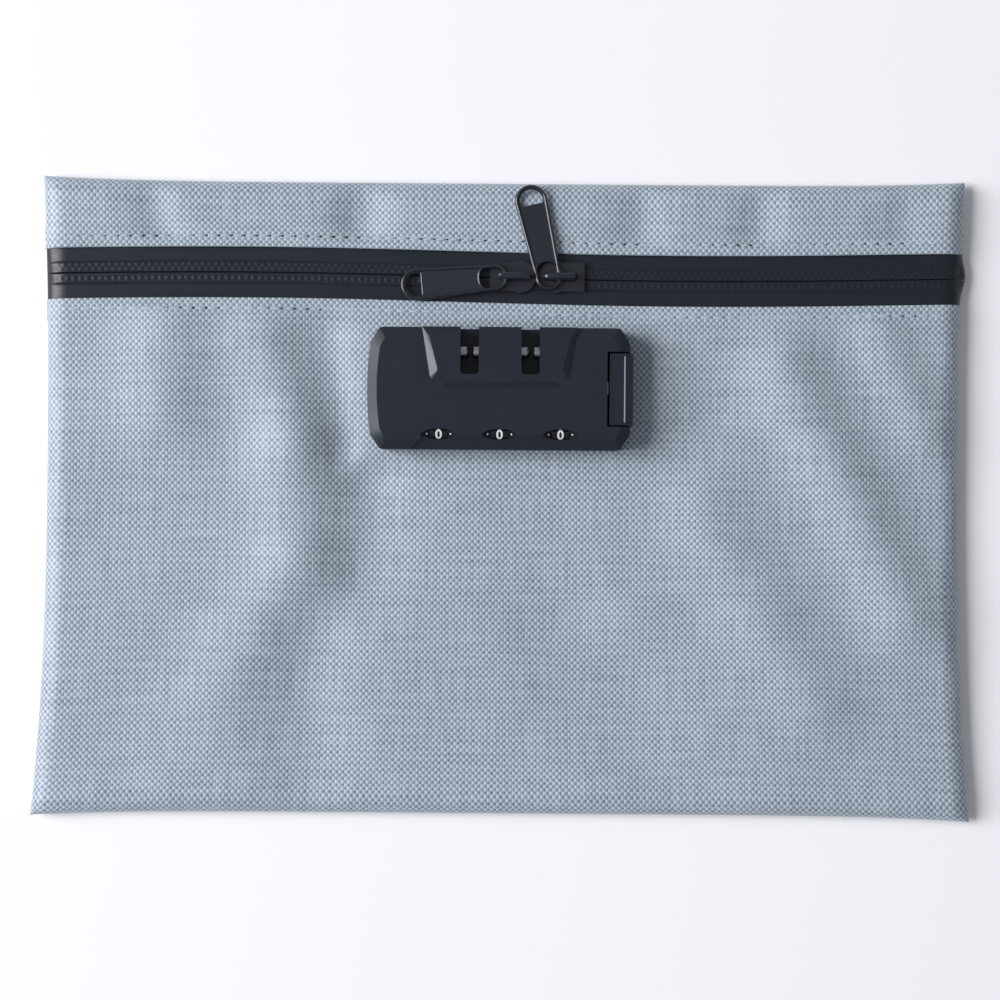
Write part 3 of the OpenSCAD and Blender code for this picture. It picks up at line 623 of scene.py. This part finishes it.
# Pieces inside the bag and the lock keep their drawn mesh and take the real finish.
INSIDE = {
    binding: ["seam_binding_left", "seam_binding_right", "seam_binding_top", "seam_binding_bottom"],
    monofilament: ["zip_coil_upper", "zip_coil_lower"],
    steel: ["lock_inner_plate", "lock_screws", "dial_shaft", "latch_bar"],
    spring_steel: ["detent_spring", "return_spring"],
    brass: ["cam_sleeve_left", "cam_sleeve_middle", "cam_sleeve_right"],
    abs_satin: ["code_change_slider", "lock_base_plate"],
}
for finish, names in INSIDE.items():
    for name in names:
        frame["nodes"][name].data.materials.clear()
        frame["nodes"][name].data.materials.append(finish)

# ---- Lock housing and release button ----
# Injection-moulded ABS. The housing is held by four screws from inside the bag; the button slides under
# its right end.
# The finger scoops are spark-eroded to a dead matt; their darker colour is painted shade in the hollows.
scoop_matt_painted_shade, _ = new_material("matt_abs_with_painted_scoop_shade", Base_Color=linear("#161b23"), Roughness=0.85,
                             Specular_IOR_Level=0.15)
# Ridge where the front face breaks down to the sloping face; the scoops are cut into it.
RIDGE_Y = lock_lo.y + 4.4 * MM
FACE_Z = FABRIC_TOP + 12 * MM
DIAL_X = [sum(corner.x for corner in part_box("dial_" + name)) / 2 for name in ("left", "middle", "right")]
shell = rounded("lock_housing", 0.32 * MM)
for face in shell.faces:
    middle = face.calc_center_median()
    in_row = abs(middle.y - RIDGE_Y) < 2.4 * MM and FACE_Z - 1.7 * MM < middle.z < FACE_Z + 0.01 * MM
    beside_dial = min(abs(middle.x - x) for x in DIAL_X) < 5.4 * MM
    # Scoop faces take the darker matt material, whose darker colour is painted shade in the hollows.
    face.material_index = int(in_row and beside_dial and abs(face.normal.x) > 0.03)
housing = join(shell, "lock_housing_shell", [abs_satin, scoop_matt_painted_shade])
soften(housing, 18)
finish_as(housing, "lock_housing", "pouch")
# A low wedge along the button's outer edge gives the thumb a grip.
button_lo, button_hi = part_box("release_button")
cap = rounded("release_button", 0.4 * MM)
wedge = bmesh.ops.create_cube(cap, size=1)["verts"]
place = Matrix.Translation((36 * MM, (button_lo.y + button_hi.y) / 2, button_hi.z - 0.12 * MM)) \
    @ Matrix.Rotation(math.radians(-27), 4, "Y") @ Matrix.Diagonal((0.6 * MM, 19.5 * MM, 0.4 * MM, 1))
bmesh.ops.transform(cap, matrix=place, verts=wedge)
button = join(cap, "release_button_cap", [abs_satin])
soften(button)
finish_as(button, "release_button", "button")

# Index dots printed on the housing beside each dial.
PRINT_T = 0.03 * MM
white_ink, ink_shader = new_material("white_printing_ink", Base_Color=linear("#e8ebee"), Roughness=0.5)
ink_wear = add(white_ink, "TexNoise", {"Vector": add(white_ink, "TexCoord").outputs["Object"], "Scale": 3000})
ink_tone = add(white_ink, "ValToRGB", {"Fac": ink_wear.outputs["Fac"]})
ink_tone.color_ramp.elements[0].color = linear("#c2c7cc")
ink_tone.color_ramp.elements[1].color = linear("#f3f5f6")
feed(white_ink, ink_tone.outputs["Color"], ink_shader, "Base Color")

# ---- Dials ----
# Three moulded thumb dials with ten flats between grooves, and printed digits from 0 to 9. Each turns
# with its brass sleeve on the common shaft.
dial_abs, dial_shader = new_material("moulded_abs_dial", Base_Color=linear("#0d1015"))
vary_gloss(dial_abs, dial_shader, grain(dial_abs, 2200), 0.3, 0.45)
DIGIT_H = 2.75 * MM
DIGIT_TURN = math.radians(18)
# The dots lie on the floors of the finger scoops, which are rings cut at a slant.
SCOOP_TILT = math.radians(15)
SCOOP_D = 1.3 * MM
SCOOP_RING = ((4.7 * MM) ** 2 + SCOOP_D ** 2) / (2 * SCOOP_D)
DOT_OUT = 3.5 * MM
for place_name in ("left", "middle", "right"):
    node = "dial_" + place_name
    wheel = join(rounded(node, 0.15 * MM, 2), node + "_wheel", [dial_abs])
    soften(wheel)
    finish_as(wheel, node, node)
    lo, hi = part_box(node)
    centre = (lo + hi) / 2
    dial_r = (hi.z - lo.z) / 2
    digits = bmesh.new()
    for digit in range(10):
        text = bpy.data.curves.new("digit", "FONT")
        text.body = str(digit)
        text.align_x = "CENTER"
        text.align_y = "CENTER"
        text.size = DIGIT_H / 0.70
        text.offset = 0.09 * MM
        text.extrude = PRINT_T
        holder = bpy.data.objects.new("digit", text)
        bpy.context.scene.collection.objects.link(holder)
        depsgraph = bpy.context.evaluated_depsgraph_get()
        flat_digit = bpy.data.meshes.new_from_object(holder.evaluated_get(depsgraph))
        bpy.data.objects.remove(holder)
        start = len(digits.verts)
        digits.from_mesh(flat_digit)
        bpy.data.meshes.remove(flat_digit)
        digits.verts.ensure_lookup_table()
        own = digits.verts[start:]
        mid_y = (min(v.co.y for v in own) + max(v.co.y for v in own)) / 2
        mid_x = (min(v.co.x for v in own) + max(v.co.x for v in own)) / 2
        for v in own:
            angle = (v.co.y - mid_y) / dial_r + digit * math.radians(36) - DIGIT_TURN
            out = dial_r + v.co.z
            v.co = centre + Vector((v.co.x - mid_x, out * math.sin(angle), out * math.cos(angle)))
    printed = join(digits, node + "_digits", [white_ink])
    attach(printed, node)
    dots = bmesh.new()
    for x_side in (-1, 1):
        dot = bmesh.ops.create_circle(dots, cap_ends=True, segments=20, radius=0.24 * MM)["verts"]
        lean = math.asin(DOT_OUT / SCOOP_RING)
        drop = SCOOP_RING - SCOOP_D - (SCOOP_RING - PRINT_T) * math.cos(lean)
        place = Matrix.Translation((centre.x, RIDGE_Y, FACE_Z)) @ Matrix.Rotation(SCOOP_TILT, 4, "X") \
            @ Matrix.Translation((x_side * DOT_OUT, 0, drop)) @ Matrix.Rotation(-x_side * lean, 4, "Y")
        bmesh.ops.transform(dots, matrix=place, verts=dot)
    index = join(dots, "index_dots_" + place_name, [white_ink])
    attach(index, "pouch")

# ---- Latch bolts and strikers ----
# Turned steel pins: the bolts cross the slots from the left and stop short of the fixed strikers.
for node, body in (("latch_bolts", "latch"), ("bolt_strikers", "pouch")):
    pins = join(rounded(node, 0.25 * MM, 3, 40), node + "_pins", [steel])
    soften(pins, 50)
    finish_as(pins, node, body)

# ---- Zip sliders ----
# Zinc castings: a plate above the tape and one below, joined by a wedge, with a bail across the top.
for side in ("left", "right"):
    shape = rounded("zip_slider_" + side, 0.3 * MM, 3, 30, 0.85 * MM)
    casting = join(shape, "slider_casting_" + side, [enamel])
    soften(casting)
    finish_as(casting, "zip_slider_" + side, "slider_" + side)

# ---- Zip pulls ----
# Cast zinc tabs under black enamel. A round rim runs about a thinner panel; one end is an eye that hangs
# on the slider's bail, the other a D-shaped hole that the lock's bolt passes through.
PULL_LEN = 32.4 * MM
EYE_LEN = 7 * MM
EYE_W = 6 * MM
EYE_R = 3.9 * MM
EYE_BAR = 1.4 * MM
GRIP_R = 4.9 * MM
RIM_R = 0.62 * MM
RIM_HALF_T = 0.8 * MM
PANEL_HALF_T = 0.42 * MM
PULL_DIP = math.radians(1.8)
EYE_END = -EYE_LEN / 2 - EYE_BAR
GRIP_X = PULL_LEN + EYE_END - GRIP_R


def arc(centre_x, radius, start, end, count):
    return [(centre_x + radius * math.cos(start + (end - start) * k / count),
             radius * math.sin(start + (end - start) * k / count)) for k in range(count + 1)]


def pull_outline(grow):
    """The tab's outline, grown sideways: two arcs and the lines that touch both."""
    eye_x = EYE_END + EYE_R
    touch = math.acos((EYE_R - GRIP_R) / (GRIP_X - eye_x))
    grip_arc = arc(GRIP_X, GRIP_R + grow, -touch, touch, 28)
    return grip_arc + arc(eye_x, EYE_R + grow, touch, 2 * math.pi - touch, 22)


def eye_outline(grow):
    corner = 2.4 * MM
    points = []
    for quarter, (sx, sy) in enumerate(((1, 1), (-1, 1), (-1, -1), (1, -1))):
        for k in range(7):
            angle = math.pi / 2 * (quarter + k / 6)
            points.append((sx * (EYE_LEN / 2 - corner) + (corner + grow) * math.cos(angle),
                           sy * (EYE_W / 2 - corner) + (corner + grow) * math.sin(angle)))
    return points


def grip_hole():
    """The D-shaped hole: the grip end's inner arc, closed by a straight side towards the panel."""
    inner = GRIP_R - 1.35 * MM
    flat = GRIP_X - 1.6 * MM
    edge = math.acos((flat - GRIP_X) / inner)
    return arc(GRIP_X, inner, -edge, edge, 20)


def curve_mesh(outlines, fill, depth, bevel, closed=True):
    """Mesh of flat outlines: filled to a plate that has holes, or swept with a round section."""
    curve = bpy.data.curves.new("outline", "CURVE")
    curve.dimensions = "2D" if fill else "3D"
    curve.fill_mode = "BOTH" if fill else "FULL"
    curve.extrude = depth
    curve.bevel_depth = bevel
    curve.bevel_resolution = 4
    for points in outlines:
        spline = curve.splines.new("POLY")
        spline.points.add(len(points) - 1)
        for point, (x, y) in zip(spline.points, points):
            point.co = (x, y, 0, 1)
        spline.use_cyclic_u = closed
    holder = bpy.data.objects.new("outline", curve)
    bpy.context.scene.collection.objects.link(holder)
    mesh = bpy.data.meshes.new_from_object(holder.evaluated_get(bpy.context.evaluated_depsgraph_get()))
    bpy.data.objects.remove(holder)
    return mesh


joints_by_name = {joint["name"]: joint for joint in frame["record"]["behaviour"]["joints"]}
for side, joint, turn, shift in (("left", "pull_left_lift", 185.5, (-EYE_END - EYE_BAR / 2, 0, 0)),
                                 ("right", "pull_right_swivel", 103.2, (0.5 * MM, -0.9 * MM, 0))):
    tab = bmesh.new()
    hole = grip_hole()
    plate = curve_mesh([pull_outline(-0.4 * MM), eye_outline(0.2 * MM), hole], True,
                       PANEL_HALF_T - 0.12 * MM, 0.12 * MM)
    rim = curve_mesh([pull_outline(-RIM_R)], False, 0, RIM_R)
    collar = curve_mesh([eye_outline(0.5 * MM)], False, 0, 0.52 * MM)
    bar = curve_mesh([[hole[0], hole[-1]]], False, 0, 0.45 * MM, closed=False)
    for mesh, stretch in ((plate, 1), (rim, RIM_HALF_T / RIM_R), (collar, 1.45), (bar, 1)):
        before = len(tab.verts)
        tab.from_mesh(mesh)
        tab.verts.ensure_lookup_table()
        bmesh.ops.scale(tab, vec=(1, 1, stretch), verts=tab.verts[before:])
        bpy.data.meshes.remove(mesh)
    bmesh.ops.remove_doubles(tab, verts=tab.verts, dist=0.001 * MM)
    for face in tab.faces:
        face.smooth = True
    hung = Matrix.Translation(Vector(joints_by_name[joint]["pos_m"]))
    place = hung @ Matrix.Rotation(math.radians(turn), 4, "Z") @ Matrix.Rotation(PULL_DIP, 4, "Y") \
        @ Matrix.Translation(shift)
    bmesh.ops.transform(tab, matrix=place, verts=tab.verts)
    pull = join(tab, "pull_tab_" + side, [enamel])
    soften(pull, 40)
    finish_as(pull, "zip_pull_" + side, "pull_" + side)
